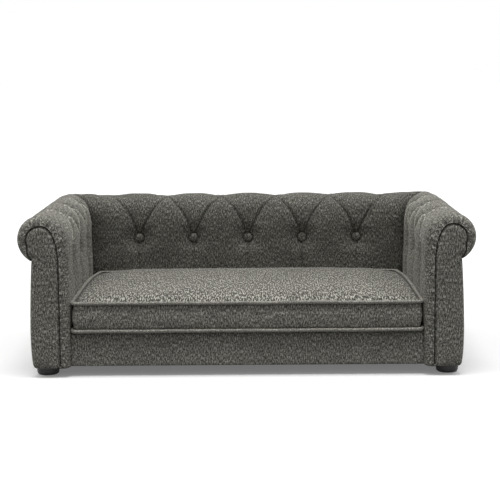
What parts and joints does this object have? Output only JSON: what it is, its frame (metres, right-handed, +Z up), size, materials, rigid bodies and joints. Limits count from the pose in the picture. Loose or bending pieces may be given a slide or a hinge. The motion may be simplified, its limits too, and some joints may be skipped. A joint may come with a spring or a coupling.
{
  "type": "tufted pet sofa bed",
  "caption": "Scroll-arm pet sofa bed with button-tufted arms and back, a loose piped box cushion with a zip, a timber frame inside and short round feet.",
  "frame": {"origin": "centre of the outline in plan, at the height of the floor under the feet", "axes": "+X along the width, toward the right arm as seen from the front; +Y from the front toward the back; +Z up"},
  "size_m": [0.8994, 0.5497, 0.3191],
  "materials": {
    "cover_cloth": "heathered chenille, dark warm grey",
    "cushion_cloth": "the same chenille, brushed lighter on the lying surface",
    "black_cloth": "thin black nonwoven and woven tape",
    "timber": "planed softwood",
    "plywood": "sanded plywood",
    "hardboard": "smooth hardboard",
    "foam": "open-cell upholstery foam",
    "zinc_steel": "bright zinc plating",
    "foot_plastic": "moulded black, satin"
  },
  "bodies": {
    "sofa": {"front_rail": "timber", "back_rail": "timber", "left_side_rail": "timber", "right_side_rail": "timber", "centre_rails": "timber", "corner_blocks": "timber", "corner_posts": "timber", "seat_deck": "plywood", "left_arm_front_board": "plywood", "right_arm_front_board": "plywood", "left_arm_inner_panel": "plywood", "right_arm_inner_panel": "plywood", "left_arm_outer_board": "hardboard", "right_arm_outer_board": "hardboard", "back_inner_panel": "plywood", "back_outer_board": "hardboard", "left_arm_pole": "timber", "right_arm_pole": "timber", "back_pole": "timber", "left_arm_foam": "foam", "right_arm_foam": "foam", "back_foam": "foam", "left_arm_cover": "cover_cloth", "right_arm_cover": "cover_cloth", "back_cover": "cover_cloth", "left_outer_arm_cover": "cover_cloth", "right_outer_arm_cover": "cover_cloth", "outer_back_cover": "cover_cloth", "left_arm_facing": "cover_cloth", "right_arm_facing": "cover_cloth", "front_rail_cover": "cover_cloth", "deck_cover": "cover_cloth", "dust_cover": "black_cloth", "back_buttons": "cover_cloth", "left_arm_buttons": "cover_cloth", "right_arm_buttons": "cover_cloth", "back_button_ties": "zinc_steel", "left_arm_button_ties": "zinc_steel", "right_arm_button_ties": "zinc_steel", "front_left_foot": "foot_plastic", "front_right_foot": "foot_plastic", "rear_left_foot": "foot_plastic", "rear_right_foot": "foot_plastic", "foot_bolts": "zinc_steel", "foot_nuts": "zinc_steel", "frame_screws": "zinc_steel", "dust_cover_staples": "zinc_steel"},
    "cushion": {"cushion_foam": "foam", "cushion_top_panel": "cushion_cloth", "cushion_boxing": "cushion_cloth", "cushion_bottom_panel": "cushion_cloth", "cushion_top_piping": "cushion_cloth", "cushion_bottom_piping": "cushion_cloth", "zip_tape": "black_cloth"},
    "zip_slider": {"zip_slider": "zinc_steel"},
    "zip_pull": {"zip_pull": "zinc_steel"}
  },
  "joints": [
    {"name": "cushion_lift", "type": "slide", "parent": "sofa", "child": "cushion", "axis": [0, 0, 1], "range_m": [0, 0.24]},
    {"name": "zip_slide", "type": "slide", "parent": "cushion", "child": "zip_slider", "axis": [1, 0, 0], "range_m": [0, 0.532]},
    {"name": "zip_pull_flap", "type": "hinge", "parent": "zip_slider", "child": "zip_pull", "pos_m": [-0.266, 0.1724, 0.1203], "axis": [0, 0, 1], "range_deg": [0, 5]}
  ]
}
